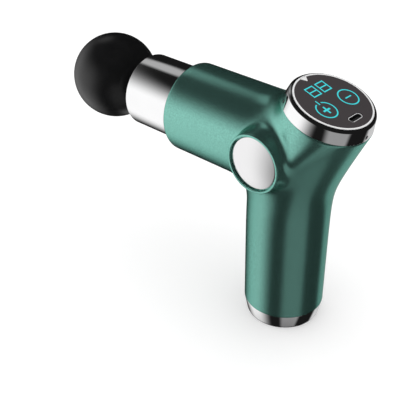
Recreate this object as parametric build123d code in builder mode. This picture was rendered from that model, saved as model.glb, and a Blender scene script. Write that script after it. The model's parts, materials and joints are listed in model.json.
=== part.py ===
"""Compact percussion massage gun with a ball head, a touch display and a slider-crank drive.

Frame: origin at the centre of the foot's bottom face, +Z up along the handle, the barrel
points to -X, and the object is symmetric about the plane Y = 0 on the outside.
Left is -Y and right is +Y, as seen by the person who holds it. Millimetres.
"""
from build123d import *
from math import asin, cos, degrees, radians, sin, sqrt, tan
import os

os.makedirs("parts", exist_ok=True)

# ---------------------------------------------------------------- driving dimensions
WALL = 2.0            # housing wall
FIT = 0.05            # gap of a close static fit and of a running fit
GAP = 0.3             # clearance between bodies that move past each other

# handle and foot
HANDLE_LOW_R = 21.2   # at the top of the foot ring
HANDLE_TOP_R = 21.6
HANDLE_TOP_Z = 84.0
FOOT_RING_Z = 8.7     # top of the foot ring
FOOT_RING_LOW_R = 19.6
PAD_R = 17.6
PAD_T = 1.4
FOOT_FLOOR_Z = 5.4    # top of the foot ring's floor, thick so that the foot carries weight

# barrel, nose and drive axis
AXIS_Z = 100.0
BARREL_R = 24.0
BARREL_FRONT_X = -65.5
FRONT_WALL = 3.0
SLEEVE_R = 19.9
SLEEVE_T = 1.0
SLEEVE_FRONT_X = -97.6

# side bosses and their round plates
BOSS_Z = 102.0
BOSS_R = 17.8
BOSS_FACE_Y = 30.0
RIM_R = 14.9
RIM_TOP_Y = 30.35
PLATE_R = 13.3
PLATE_SEAT_Y = 28.9
PLATE_EDGE_Y = 29.9
PLATE_TOP_Y = 30.8    # crown of the domed plate

# display head, in a plane leaning back by DISPLAY_LEAN
DISPLAY_X = 21.6
DISPLAY_Z = 130.6
DISPLAY_LEAN = 18.8   # degrees
BAND_H = 7.3          # from the glass face down to the lower edge of the ring
BAND_LOW_R = 22.2
BAND_TOP_R = 21.0
GLASS_R = 18.45
GLASS_T = 1.3

# slider-crank drive
CRANK_R = 4.0         # half of the 8 mm stroke
ROD_L = 32.0
PLUNGER_R = 12.0
PLUNGER_FRONT_X = -83.5
PLUNGER_REAR_X = -26.5

# head
BALL_R = 24.0
BALL_X = -127.7
BALL_SKIN = 1.6
COLLAR_R = 10.8
SPIGOT_R = 8.0
SPIGOT_L = 22.0

# battery
CELL_R = 9.1
CELL_L = 65.0
CELL_Z = 13.4
CELL_X = 0.6
CELL_Y = 9.25

# USB-C receptacle, standard shell and mouth
USB_W = 8.94
USB_H = 3.26
USB_MOUTH_W = 8.34
USB_MOUTH_H = 2.56

# ---------------------------------------------------------------- derived places
display = Plane(
    origin=(DISPLAY_X, 0, DISPLAY_Z),
    x_dir=(cos(radians(DISPLAY_LEAN)), 0, -sin(radians(DISPLAY_LEAN))),
    z_dir=(sin(radians(DISPLAY_LEAN)), 0, cos(radians(DISPLAY_LEAN))),
)
WRIST_X = -sqrt(ROD_L**2 - CRANK_R**2)     # the crank pin stands straight above the shaft
ROD_TILT = degrees(asin(CRANK_R / ROD_L))
SLEEVE_IN_R = SLEEVE_R - SLEEVE_T


def level(z, x=0.0, y=0.0):
    """Plane facing +Z."""
    return Plane(origin=(x, y, z), x_dir=(1, 0, 0), z_dir=(0, 0, 1))


def forward(x, y=0.0, z=AXIS_Z):
    """Plane facing +X, its own x along +Y and its own y along +Z."""
    return Plane(origin=(x, y, z), x_dir=(0, 1, 0), z_dir=(1, 0, 0))


def across(y, x=0.0, z=AXIS_Z):
    """Plane facing +Y, its own x along +X and its own y along -Z."""
    return Plane(origin=(x, y, z), x_dir=(1, 0, 0), z_dir=(0, 1, 0))


def on_display(w, u=0.0, v=0.0):
    """Plane parallel to the glass: w above its face, u to the rear, v to +Y."""
    origin = display.from_local_coords((u, v, w))
    return Plane(origin=origin, x_dir=display.x_dir, z_dir=display.z_dir)


def disc_face(plane, radius):
    with BuildSketch(plane) as outline:
        Circle(radius)
    return outline.sketch.face()


def rod(plane, radius, length, mode=Mode.ADD):
    """Adds or cuts a round bar that starts on the plane."""
    extrude(disc_face(plane, radius), amount=length, mode=mode)


def screw(seat, head_r, head_h, shank_r, shank_l):
    """Pan-head screw on its seat plane; head and shank lengths have opposite signs."""
    rod(seat, head_r, head_h)
    rod(seat, shank_r, shank_l)


def ring(plane, outer, inner, length, mode=Mode.ADD):
    """Adds or cuts a plain tube that starts on the plane."""
    with BuildSketch(plane) as outline:
        Circle(outer)
        Circle(inner, mode=Mode.SUBTRACT)
    extrude(outline.sketch, amount=length, mode=mode)


def block(plane, width, height, length, corner=0.0, mode=Mode.ADD):
    """Adds or cuts a bar of rectangular section that starts on the plane."""
    with BuildSketch(plane) as outline:
        if corner:
            RectangleRounded(width, height, corner)
        else:
            Rectangle(width, height)
    extrude(outline.sketch, amount=length, mode=mode)


def on_circle(radius, angles):
    """Places at the given angles, in degrees, on a circle round a local origin."""
    return [(radius * cos(radians(a)), radius * sin(radians(a))) for a in angles]


def spun(points, axis, plane, mode=Mode.ADD):
    """Revolves a closed polygon, drawn on the plane, about the axis."""
    with BuildSketch(plane) as outline:
        with BuildLine():
            Polyline(*points, close=True)
        make_face()
    revolve(outline.sketch, axis=axis, mode=mode)


def save(part, name):
    part.label = name
    export_step(part, f"parts/{name}.step")


DRIVE_AXIS = Axis((0, 0, AXIS_Z), (1, 0, 0))      # the plunger slides along it
DISPLAY_AXIS = Axis(display.origin, display.z_dir)
DRIVE_SECTION = Plane(origin=(0, 0, AXIS_Z), x_dir=(1, 0, 0), z_dir=(0, -1, 0))
DISPLAY_SECTION = Plane(origin=display.origin, x_dir=display.x_dir, z_dir=(0, -1, 0))
FOOT_SECTION = Plane.XZ

# ---------------------------------------------------------------- housing halves
SHELL_POST_RING = 9.1                     # distance of the posts from the boss centre
SHELL_POSTS = on_circle(SHELL_POST_RING, (90, 210, 330))
POST_R = 3.3
POST_END_Y = {-1: 10.4, 1: 25.3}          # left posts are long, right ones short
HEAD_SEAT_Y = {-1: 14.5, 1: 27.7}
SHELL_SCREW_L = {-1: 6.1, 1: 4.4}
BASE_POST_Y = 14.2
COLLAR_T = 1.9                            # wall of the collars inside both end rings
FLANGE_X = BARREL_FRONT_X + FRONT_WALL + 0.1   # front face of the nose sleeve's flange
FLANGE_L = 2.4
RIB_T = 1.2
DAMPER_XS = (-55.0, -39.0)                # front faces of the two rubber rings
DAMPER_L = 4.0
DAMPER_RIB_XS = [x + offset for x in DAMPER_XS for offset in (-RIB_T - 0.05, DAMPER_L + 0.05)]
NECK_COLLAR_R = 19.55
NECK_COLLAR_TOP = -3.4
FOOT_COLLAR_R = 18.9
BOARD_X = 11.2                            # front face of the control board
BOARD_T = 1.4
BOARD_W = 22.0


RING_SCREW_ANGLES = (0, 135, -135)
RING_SCREW_W = -5.3
GRUB_R = 0.9


def radial(angle, radius, w=RING_SCREW_W):
    """Plane facing outward from the display axis at a given radius and angle."""
    a = radians(angle)
    out = display.x_dir * cos(a) + Vector(0, 1, 0) * sin(a)
    origin = display.origin + display.z_dir * w + out * radius
    return Plane(origin=origin, x_dir=display.z_dir, z_dir=out)


def boss(inset, mode=Mode.ADD):
    """Round boss on both sides, its edge turned over in a wide arc."""
    radius = BOSS_R - inset
    face = BOSS_FACE_Y - inset * 0.9
    rim = RIM_R - inset
    start = 0.7 * face
    with BuildSketch(Plane(origin=(0, 0, BOSS_Z), x_dir=(1, 0, 0), z_dir=(0, 0, 1))) as outline:
        with BuildLine():
            Line((0, 0), (radius, 0))
            Line((radius, 0), (radius, start))
            EllipticalCenterArc((rim, start), radius - rim, face - start, 0, arc_size=90)
            Line((rim, face), (0, face))
            Line((0, face), (0, 0))
        make_face()
        mirror(about=Plane.XZ)
    revolve(outline.sketch, axis=Axis((0, 0, BOSS_Z), (0, 1, 0)), mode=mode)


def gun_form(inset, mode=Mode.ADD):
    """Outer form of the housing shrunk by inset: handle, neck, barrel and bosses."""
    overrun = 1.0 if inset else 0.0
    foot = disc_face(level(FOOT_RING_Z - overrun), HANDLE_LOW_R - inset)
    waist = disc_face(level(HANDLE_TOP_Z), HANDLE_TOP_R - inset)
    neck_mid = Plane(origin=(4.0, 0, AXIS_Z), x_dir=(1, 0, -0.12), z_dir=(0.12, 0, 1))
    shoulder = disc_face(neck_mid, HANDLE_TOP_R - inset)
    brim = disc_face(on_display(-BAND_H + overrun), BAND_LOW_R - inset)
    loft(sections=[foot, waist], mode=mode)
    loft(sections=[waist, shoulder, brim], mode=mode)
    front = BARREL_FRONT_X + (FRONT_WALL if inset else 0.0)
    rod(forward(front), BARREL_R - inset, -front, mode=mode)
    boss(inset, mode)


def housing_half(side, name):
    """One moulded half of the housing; side is -1 for left and +1 for right."""
    with BuildPart() as half:
        gun_form(0.0)
        fillet(half.edges().filter_by(GeomType.CIRCLE).sort_by(Axis.X)[0], 2.2)
        gun_form(WALL, Mode.SUBTRACT)
        # nose: hole for the sleeve, and the rib that locks its flange
        rod(forward(BARREL_FRONT_X - 1), SLEEVE_R + FIT, FRONT_WALL + 2, Mode.SUBTRACT)
        for x in (FLANGE_X + FLANGE_L + 0.1, *DAMPER_RIB_XS):
            ring(forward(x), BARREL_R - WALL + 0.4, BARREL_R - WALL - 1.6, RIB_T)
        # neck: inward flange and the collar that carries the display ring
        ring(on_display(-BAND_H - 2), BAND_LOW_R - 1, NECK_COLLAR_R - COLLAR_T, 2)
        ring(on_display(-BAND_H), NECK_COLLAR_R, NECK_COLLAR_R - COLLAR_T, BAND_H + NECK_COLLAR_TOP)
        for angle in RING_SCREW_ANGLES:
            rod(radial(angle, 16.0), GRUB_R + FIT, 5.0, Mode.SUBTRACT)
        # foot: inward flange, collar and screw posts
        ring(level(FOOT_RING_Z), HANDLE_LOW_R - 1, FOOT_COLLAR_R - COLLAR_T, 1.7)
        collar_h = FOOT_RING_Z - FOOT_FLOOR_Z
        ring(level(FOOT_FLOOR_Z + FIT), FOOT_COLLAR_R, FOOT_COLLAR_R - COLLAR_T, collar_h)
        rod(level(FOOT_FLOOR_Z + FIT, y=side * BASE_POST_Y), 2.6, 5.9)
        rod(level(FOOT_FLOOR_Z, y=side * BASE_POST_Y), 1.25, 5.6, Mode.SUBTRACT)
        # rails for the control board
        for z in (28.0, 60.0):
            block(level(z, BOARD_X + BOARD_T / 2, side * 13.0), 3.6, 6.0, 4.0)
            groove = level(z - 1, BOARD_X + BOARD_T / 2, side * 10.0)
            block(groove, BOARD_T + 0.1, 2.2, 6.0, mode=Mode.SUBTRACT)
        # side boss: raised rim, plate seat and posts for the housing screws
        ring(across(side * RIM_TOP_Y, z=BOSS_Z), RIM_R, PLATE_R + FIT, -side * 1.4)
        rod(across(side * PLATE_SEAT_Y, z=BOSS_Z), PLATE_R + FIT, side * 3, Mode.SUBTRACT)
        for x, z in SHELL_POSTS:
            end = POST_END_Y[side]
            seat = HEAD_SEAT_Y[side]
            rod(across(side * end, x, BOSS_Z + z), POST_R, side * (PLATE_SEAT_Y - end))
            rod(across(side * (end - 1), x, BOSS_Z + z), 1.35, side * 20, Mode.SUBTRACT)
            rod(across(side * seat, x, BOSS_Z + z), 2.45, side * 20, Mode.SUBTRACT)
        split(bisect_by=Plane.XZ, keep=Keep.TOP if side < 0 else Keep.BOTTOM)
    save(half.part, name)


housing_half(-1, "left_housing")
housing_half(1, "right_housing")

with BuildPart() as shell_screws:
    for side in (-1, 1):
        seat = HEAD_SEAT_Y[side]
        for x, z in SHELL_POSTS:
            screw(across(side * seat, x, BOSS_Z + z), 2.3, side * 1.1, 1.25, -side * SHELL_SCREW_L[side])
save(shell_screws.part, "shell_screws")


def side_plate(side, name):
    """Slightly domed round plate that covers the housing screws."""
    dome_h = PLATE_TOP_Y - PLATE_EDGE_Y
    dome_r = (PLATE_R**2 + dome_h**2) / (2 * dome_h)
    with BuildPart() as plate:
        rod(across(side * PLATE_SEAT_Y, z=BOSS_Z), PLATE_R, side * (PLATE_TOP_Y - PLATE_SEAT_Y))
        with Locations((0, side * (PLATE_TOP_Y - dome_r), BOSS_Z)):
            Sphere(dome_r, mode=Mode.INTERSECT)
    save(plate.part, name)


side_plate(-1, "left_side_plate")
side_plate(1, "right_side_plate")

# ---------------------------------------------------------------- foot
with BuildPart() as foot_ring:
    spun(
        [
            (0, PAD_T + FIT),
            (PAD_R + FIT, PAD_T + FIT),
            (PAD_R + FIT, 0),
            (FOOT_RING_LOW_R - 1.0, 0),
            (FOOT_RING_LOW_R - 0.3, 0.35),
            (FOOT_RING_LOW_R, 1.1),
            (HANDLE_LOW_R, FOOT_RING_Z - FIT),
            (FOOT_COLLAR_R + FIT, FOOT_RING_Z - FIT),
            (FOOT_COLLAR_R + FIT, FOOT_FLOOR_Z),
            (0, FOOT_FLOOR_Z),
        ],
        Axis.Z,
        FOOT_SECTION,
    )
    for side in (-1, 1):
        rod(level(0, y=side * BASE_POST_Y), 1.3, FOOT_FLOOR_Z, Mode.SUBTRACT)
        rod(level(0, y=side * BASE_POST_Y), 2.4, PAD_T + 1.1, Mode.SUBTRACT)
save(foot_ring.part, "foot_ring")

with BuildPart() as foot_pad:
    rod(level(0), PAD_R, PAD_T)
    fillet(foot_pad.edges().filter_by(GeomType.CIRCLE).sort_by(Axis.Z)[0], 0.5)
save(foot_pad.part, "foot_pad")

with BuildPart() as foot_screws:
    for side in (-1, 1):
        screw(level(PAD_T + 1.1, y=side * BASE_POST_Y), 2.3, -1.0, 1.2, 7.5)
save(foot_screws.part, "foot_screws")

# ---------------------------------------------------------------- nose
SLEEVE_STEP_X = -93.4
SEAL_IN_R = COLLAR_R + 0.5

with BuildPart() as nose_sleeve:
    spun(
        [
            (SLEEVE_FRONT_X, SLEEVE_IN_R + 0.3),
            (SLEEVE_FRONT_X, SLEEVE_R - 0.4),
            (SLEEVE_FRONT_X + 0.4, SLEEVE_R),
            (FLANGE_X, SLEEVE_R),
            (FLANGE_X, SLEEVE_R + 1.6),
            (FLANGE_X + FLANGE_L, SLEEVE_R + 1.6),
            (FLANGE_X + FLANGE_L, SLEEVE_IN_R),
            (SLEEVE_STEP_X + 1.2, SLEEVE_IN_R),
            (SLEEVE_STEP_X + 1.2, SLEEVE_IN_R - 1.0),
            (SLEEVE_STEP_X, SLEEVE_IN_R - 1.0),
            (SLEEVE_STEP_X, SLEEVE_IN_R),
            (SLEEVE_FRONT_X + 0.3, SLEEVE_IN_R),
        ],
        DRIVE_AXIS,
        DRIVE_SECTION,
    )
save(nose_sleeve.part, "nose_sleeve")

with BuildPart() as nose_seal:
    spun(
        [
            (SLEEVE_STEP_X - 0.05, SLEEVE_IN_R - FIT),
            (SLEEVE_STEP_X - 0.05, SEAL_IN_R + 1.0),
            (SLEEVE_STEP_X - 1.2, SEAL_IN_R),
            (SLEEVE_STEP_X - 2.0, SEAL_IN_R),
            (SLEEVE_STEP_X - 2.8, SEAL_IN_R + 1.2),
            (SLEEVE_STEP_X - 2.2, SEAL_IN_R + 3.0),
            (SLEEVE_STEP_X - 2.2, SLEEVE_IN_R - 2.4),
            (SLEEVE_STEP_X - 3.2, SLEEVE_IN_R - 1.2),
            (SLEEVE_STEP_X - 3.2, SLEEVE_IN_R - FIT),
        ],
        DRIVE_AXIS,
        DRIVE_SECTION,
    )
save(nose_seal.part, "nose_seal")

# ---------------------------------------------------------------- massage head
STEM_TIP_X = PLUNGER_FRONT_X + SPIGOT_L
FLANGE_IN_BALL_X = BALL_X + sqrt((BALL_R - BALL_SKIN) ** 2 - (COLLAR_R + 2.6) ** 2) - 0.1
STEM_WALL = 2.4
STEM_MOUTH_X = FLANGE_IN_BALL_X - 5       # the stem is hollow, open towards the ball
O_RING_XS = (-78.0, -69.0)
O_RING_R = 0.7

with BuildPart() as head_ball:
    Sphere(BALL_R)
    Sphere(BALL_R - BALL_SKIN, mode=Mode.SUBTRACT)
    rod(forward(0, z=0), COLLAR_R + 0.02, BALL_R + 1, Mode.SUBTRACT)
head_ball_part = Location((BALL_X, 0, AXIS_Z)) * head_ball.part
save(head_ball_part, "head_ball")

with BuildPart() as head_stem:
    rod(forward(STEM_TIP_X), SPIGOT_R, -SPIGOT_L)
    chamfer(head_stem.edges().sort_by(Axis.X)[-1], 0.8)
    rod(forward(PLUNGER_FRONT_X), COLLAR_R, FLANGE_IN_BALL_X - PLUNGER_FRONT_X)
    rod(forward(FLANGE_IN_BALL_X), COLLAR_R + 2.5, -2.4)
    for radius, end in ((COLLAR_R - STEM_WALL, PLUNGER_FRONT_X), (SPIGOT_R - STEM_WALL - 1, STEM_TIP_X)):
        rod(forward(STEM_MOUTH_X), radius, end - STEM_WALL - STEM_MOUTH_X, Mode.SUBTRACT)
    for x in O_RING_XS:
        ring(forward(x - 0.8), SPIGOT_R + 1, SPIGOT_R - 1.45, 1.6, Mode.SUBTRACT)
save(head_stem.part, "head_stem")

with BuildPart() as stem_o_rings:
    for x in O_RING_XS:
        with BuildSketch(DRIVE_SECTION) as section:
            with Locations((x, SPIGOT_R - O_RING_R + 0.02)):
                Circle(O_RING_R)
        revolve(section.sketch, axis=DRIVE_AXIS)
save(stem_o_rings.part, "stem_o_rings")

# ---------------------------------------------------------------- plunger and its guide
CYLINDER_IN_R = 14.0
CYLINDER_OUT_R = 15.6
CYLINDER_FRONT_X = -86.0
CYLINDER_REAR_X = -24.0
FRAME_WALL_T = 3.0
BUSH_SPANS = ((-85.0, 10.0), (-46.0, 10.0))
CLEVIS_HALF = 3.5
WRIST_PIN_R = 2.0
FLANGE_W = 28.0
FLANGE_H = 33.0
FLANGE_CORNER_R = 6.0
CYLINDER_FLANGE_T = 2.4
FRAME_SCREWS = [(sy * 11.4, sz * 13.6) for sy in (-1, 1) for sz in (-1, 1)]

with BuildPart() as plunger:
    rod(forward(PLUNGER_FRONT_X), PLUNGER_R, PLUNGER_REAR_X - PLUNGER_FRONT_X)
    chamfer(plunger.edges().filter_by(GeomType.CIRCLE), 0.6)
    rod(forward(PLUNGER_FRONT_X), SPIGOT_R + 0.06, SPIGOT_L + 1.5, Mode.SUBTRACT)
    block(forward(-40.0), 2 * CLEVIS_HALF, 2 * PLUNGER_R + 2, 20, mode=Mode.SUBTRACT)
    rod(across(-PLUNGER_R - 1, WRIST_X), WRIST_PIN_R, 2 * PLUNGER_R + 2, Mode.SUBTRACT)
    rod(forward(STEM_TIP_X + 3.5), 9.0, 15.0, Mode.SUBTRACT)
save(plunger.part, "plunger")

with BuildPart() as wrist_pin:
    rod(across(-PLUNGER_R + 1, WRIST_X), WRIST_PIN_R, 2 * PLUNGER_R - 2)
save(wrist_pin.part, "wrist_pin")

with BuildPart() as guide_cylinder:
    rod(forward(CYLINDER_FRONT_X), CYLINDER_OUT_R, CYLINDER_REAR_X - CYLINDER_FRONT_X)
    block(forward(CYLINDER_REAR_X), FLANGE_W, FLANGE_H, -CYLINDER_FLANGE_T, corner=FLANGE_CORNER_R)
    rod(forward(CYLINDER_FRONT_X), CYLINDER_IN_R, CYLINDER_REAR_X - CYLINDER_FRONT_X, Mode.SUBTRACT)
    for y, z in FRAME_SCREWS:
        rod(forward(CYLINDER_REAR_X, y, AXIS_Z + z), 1.1, -CYLINDER_FLANGE_T, Mode.SUBTRACT)
save(guide_cylinder.part, "guide_cylinder")

with BuildPart() as guide_bushes:
    for start, length in BUSH_SPANS:
        ring(forward(start), CYLINDER_IN_R - 0.02, PLUNGER_R + FIT, length)
save(guide_bushes.part, "guide_bushes")

with BuildPart() as damper_rings:
    for x in DAMPER_XS:
        ring(forward(x), BARREL_R - WALL - 0.1, CYLINDER_OUT_R + FIT, DAMPER_L)
save(damper_rings.part, "damper_rings")

# ---------------------------------------------------------------- crank frame
PLATE_IN_Y = 8.2
PLATE_T = 2.0
FRAME_R = 14.2
SHAFT_R = 1.5
BEARING_R = 4.0
BEARING_T = 3.0
TUBE_R = 5.0
TUBE_END_Y = 21.0
SPACERS = [(9.4, 11.6), (9.4, -11.6)]

with BuildPart() as crank_frame:
    block(forward(CYLINDER_REAR_X), FLANGE_W, FLANGE_H, FRAME_WALL_T, corner=FLANGE_CORNER_R)
    for side in (-1, 1):
        plate = across(side * PLATE_IN_Y)
        rod(plate, FRAME_R, side * PLATE_T)
        block(across(side * PLATE_IN_Y, -11.0), 22.0, 2 * FRAME_R - 4, side * PLATE_T)
    for x, z in SPACERS:
        rod(across(-PLATE_IN_Y, x, AXIS_Z + z), 1.6, 2 * PLATE_IN_Y)
    rod(forward(CYLINDER_REAR_X - 1), PLUNGER_R + 0.6, FRAME_WALL_T + 2, Mode.SUBTRACT)
    rod(across(PLATE_IN_Y), TUBE_R, TUBE_END_Y - PLATE_IN_Y)
    rod(across(PLATE_IN_Y - 1), BEARING_R, 20, Mode.SUBTRACT)
    rod(across(-PLATE_IN_Y + 1), 5.2, -5, Mode.SUBTRACT)
    for x, z in SHELL_POSTS:
        rod(across(-PLATE_IN_Y + 1, x, BOSS_Z + z), 1.3, -5, Mode.SUBTRACT)
    for y, z in FRAME_SCREWS:
        rod(forward(CYLINDER_REAR_X, y, AXIS_Z + z), 0.95, FRAME_WALL_T, Mode.SUBTRACT)
save(crank_frame.part, "crank_frame")

with BuildPart() as frame_screws:
    for y, z in FRAME_SCREWS:
        screw(forward(CYLINDER_REAR_X - CYLINDER_FLANGE_T, y, AXIS_Z + z), 1.7, -1.3, 0.9, 5.0)
save(frame_screws.part, "frame_screws")

# ---------------------------------------------------------------- brushless motor
STATOR_Y = 12.0
STATOR_L = 7.5
STATOR_R = 9.9
TEETH = 12
POLES = 14
BELL_OUT_R = 12.2
BELL_T = 1.2
BELL_Y = 10.9
BELL_END_Y = 22.4
CAN_IN_R = 12.5
CAN_OUT_R = 13.3
CAN_END_Y = 25.2
SHAFT_END_Y = 23.0

with BuildPart() as shaft_bearings:
    for y in (PLATE_IN_Y + 0.3, TUBE_END_Y - BEARING_T - 0.3):
        ring(across(y), BEARING_R - 0.01, SHAFT_R + FIT, BEARING_T)
save(shaft_bearings.part, "shaft_bearings")

with BuildPart() as stator_core:
    ring(across(STATOR_Y), 6.3, TUBE_R + 0.02, STATOR_L)
    for i in range(TEETH):
        turn = Location((0, 0, 0), (0, 0, 1), i * 360 / TEETH)
        with BuildSketch(across(STATOR_Y)) as tooth:
            with Locations(turn * Location((7.6, 0))):
                Rectangle(3.4, 1.4)
            with Locations(turn * Location((9.4, 0))):
                Rectangle(0.8, 3.8)
        extrude(tooth.sketch, amount=STATOR_L)
save(stator_core.part, "stator_core")

with BuildPart() as stator_windings:
    for i in range(TEETH):
        turn = Location((0, 0, 0), (0, 0, 1), i * 360 / TEETH)
        base = across(STATOR_Y + STATOR_L / 2) * turn
        coil_plane = Plane(origin=base.position, x_dir=(0, 1, 0), z_dir=base.x_axis.direction)
        with BuildSketch(coil_plane.offset(6.7)) as coil:
            RectangleRounded(STATOR_L + 2.0, 3.0, 0.7)
            Rectangle(STATOR_L, 1.4, mode=Mode.SUBTRACT)
        extrude(coil.sketch, amount=2.0)
save(stator_windings.part, "stator_windings")

with BuildPart() as rotor_bell:
    rod(across(BELL_Y), BELL_OUT_R, BELL_END_Y - BELL_Y)
    rod(across(BELL_Y), BELL_OUT_R - BELL_T, BELL_END_Y - BELL_Y - BELL_T, Mode.SUBTRACT)
    fillet(rotor_bell.edges().filter_by(GeomType.CIRCLE).sort_by(Axis.Y)[-1], 0.6)
    for i in range(6):
        a = radians(i * 60)
        rod(across(BELL_END_Y - 2, 7.2 * cos(a), AXIS_Z + 7.2 * sin(a)), 2.0, 3, Mode.SUBTRACT)
    rod(across(BELL_Y), SHAFT_R, 20, Mode.SUBTRACT)
save(rotor_bell.part, "rotor_bell")

with BuildPart() as rotor_magnets:
    with BuildSketch(across(STATOR_Y - 0.4)) as arcs:
        Circle(BELL_OUT_R - BELL_T - 0.02)
        Circle(STATOR_R + 0.25, mode=Mode.SUBTRACT)
        for i in range(POLES):
            with Locations(Location((0, 0, 0), (0, 0, 1), i * 360 / POLES) * Location((10.6, 0))):
                Rectangle(3.0, 0.5, mode=Mode.SUBTRACT)
    extrude(arcs.sketch, amount=STATOR_L + 0.8)
save(rotor_magnets.part, "rotor_magnets")

with BuildPart() as motor_can:
    rod(across(PLATE_IN_Y + PLATE_T), CAN_OUT_R, CAN_END_Y - PLATE_IN_Y - PLATE_T)
    chamfer(motor_can.edges().filter_by(GeomType.CIRCLE).sort_by(Axis.Y)[-1], 1.1)
    rod(across(PLATE_IN_Y), CAN_IN_R, CAN_END_Y - 1.2 - PLATE_IN_Y, Mode.SUBTRACT)
    for x, z in SHELL_POSTS:
        rod(across(CAN_END_Y, x, BOSS_Z + z), 2.0, -2.4)
    block(across(PLATE_IN_Y, 3.0, AXIS_Z - CAN_OUT_R), 4.0, 6.0, 5.0, mode=Mode.SUBTRACT)
    for x, z in SHELL_POSTS:
        rod(across(CAN_END_Y + 1, x, BOSS_Z + z), 1.3, -6, Mode.SUBTRACT)
save(motor_can.part, "motor_can")

CRANK_Y = 5.0
CRANK_T = 2.8
CRANK_DISC_R = 7.6
CRANK_PIN_R = 1.5
COUNTERWEIGHT_R = 12.2

with BuildPart() as motor_shaft:
    rod(across(CRANK_Y), SHAFT_R, SHAFT_END_Y - CRANK_Y)
save(motor_shaft.part, "motor_shaft")

with BuildPart() as crank_disc:
    rod(across(CRANK_Y), CRANK_DISC_R, CRANK_T)
    rod(across(CRANK_Y), SHAFT_R, CRANK_T, Mode.SUBTRACT)
    rod(across(CRANK_Y, 0, AXIS_Z + CRANK_R), CRANK_PIN_R, CRANK_T, Mode.SUBTRACT)
save(crank_disc.part, "crank_disc")

with BuildPart() as counterweight:
    with BuildSketch(across(CRANK_Y)) as weight:
        Circle(COUNTERWEIGHT_R)
        Circle(CRANK_DISC_R + 0.02, mode=Mode.SUBTRACT)
        with Locations((0, -COUNTERWEIGHT_R)):
            Rectangle(3 * COUNTERWEIGHT_R, 2 * COUNTERWEIGHT_R, mode=Mode.SUBTRACT)
    extrude(weight.sketch, amount=CRANK_T)
save(counterweight.part, "counterweight")

# ---------------------------------------------------------------- connecting rod
ROD_HALF = 3.0
BIG_END_BEARING_R = 4.5
BIG_END_R = 6.6
SMALL_END_R = 4.4
rod_plane = Plane(
    origin=(WRIST_X, -ROD_HALF, AXIS_Z),
    x_dir=(cos(radians(ROD_TILT)), 0, sin(radians(ROD_TILT))),
    z_dir=(0, 1, 0),
)

with BuildPart() as connecting_rod:
    with BuildSketch(rod_plane) as web:
        with Locations((ROD_L / 2, 0)):
            Rectangle(ROD_L, 5.0)
    extrude(web.sketch, amount=2 * ROD_HALF)
    with BuildSketch(rod_plane) as eyes:
        Circle(SMALL_END_R)
        with Locations((ROD_L, 0)):
            Circle(BIG_END_R)
    extrude(eyes.sketch, amount=2 * ROD_HALF)
    with BuildSketch(rod_plane) as holes:
        Circle(WRIST_PIN_R + FIT)
        with Locations((ROD_L, 0)):
            Circle(BIG_END_BEARING_R + 0.01)
    extrude(holes.sketch, amount=2 * ROD_HALF, mode=Mode.SUBTRACT)
    for face in (rod_plane, rod_plane.offset(2 * ROD_HALF - 1.4)):
        with BuildSketch(face) as pocket:
            with Locations((ROD_L / 2 - 1, 0)):
                SlotOverall(16.0, 3.0)
        extrude(pocket.sketch, amount=1.4, mode=Mode.SUBTRACT)
save(connecting_rod.part, "connecting_rod")

with BuildPart() as big_end_bearing:
    ring(across(-2.0, 0, AXIS_Z + CRANK_R), BIG_END_BEARING_R, CRANK_PIN_R, 4.0)
save(big_end_bearing.part, "big_end_bearing")

with BuildPart() as crank_pin:
    rod(across(-2.6, 0, AXIS_Z + CRANK_R), CRANK_PIN_R, CRANK_Y - GAP + 2.6)
save(crank_pin.part, "crank_pin")

# ---------------------------------------------------------------- display head
BEZEL_IN_R = GLASS_R + 0.05
BEZEL_OUT_R = 19.3
BEZEL_PROUD = 0.15
BOARD_TOP = -3.8          # upper face of the display board
DISPLAY_BOARD_R = 16.9
DISPLAY_BOARD_T = 1.2
BOARD_SCREW_R = 15.3
BOARD_SCREWS = on_circle(BOARD_SCREW_R, (-100, -40, 40, 100))
USB_U = 12.9
USB_TOP = -0.3
USB_DEPTH = 7.3
USB_BACK_T = 1.0          # closed end of the shell
MINUS_KEY = (2.0, 8.9)
PLUS_KEY = (2.5, -8.4)
KEY_R = 5.4
LINE_W = 0.66
ICON_T = 0.15
DIGIT_U = -9.3
DIGIT_V = (-3.8, 3.95)
DIGIT_H = 6.6
DIGIT_W = 6.0
POINTER_TIP_U = -15.8

with BuildPart() as display_ring:
    spun(
        [
            (NECK_COLLAR_R + 0.1, -BAND_H + FIT),
            (BAND_LOW_R, -BAND_H + FIT),
            (BAND_TOP_R + 0.05, -1.35),
            (BAND_TOP_R - 0.12, -0.95),
            (BAND_TOP_R - 0.5, -0.6),
            (BEZEL_OUT_R + 0.05, -0.05),
            (BEZEL_OUT_R + 0.05, -GLASS_T - 0.05),
            (17.3, -GLASS_T - 0.05),
            (17.3, -2.4),
            (NECK_COLLAR_R + 0.1, -3.3),
        ],
        DISPLAY_AXIS,
        DISPLAY_SECTION,
    )
    for u, v in BOARD_SCREWS:
        rod(on_display(-GLASS_T - 0.05, u, v), 2.1, BOARD_TOP + GLASS_T + 0.05)
        rod(on_display(-GLASS_T - 0.7, u, v), 0.85, -4, Mode.SUBTRACT)
    for angle in RING_SCREW_ANGLES:
        rod(radial(angle, 16.0), GRUB_R + FIT, 8.0, Mode.SUBTRACT)
save(display_ring.part, "display_ring")

with BuildPart() as ring_screws:
    for angle in RING_SCREW_ANGLES:
        rod(radial(angle, 17.9), GRUB_R, 3.4)
        with BuildSketch(radial(angle, 21.3)) as socket:
            RegularPolygon(0.5, 6)
        extrude(socket.sketch, amount=-0.8, mode=Mode.SUBTRACT)
save(ring_screws.part, "ring_screws")

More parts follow.
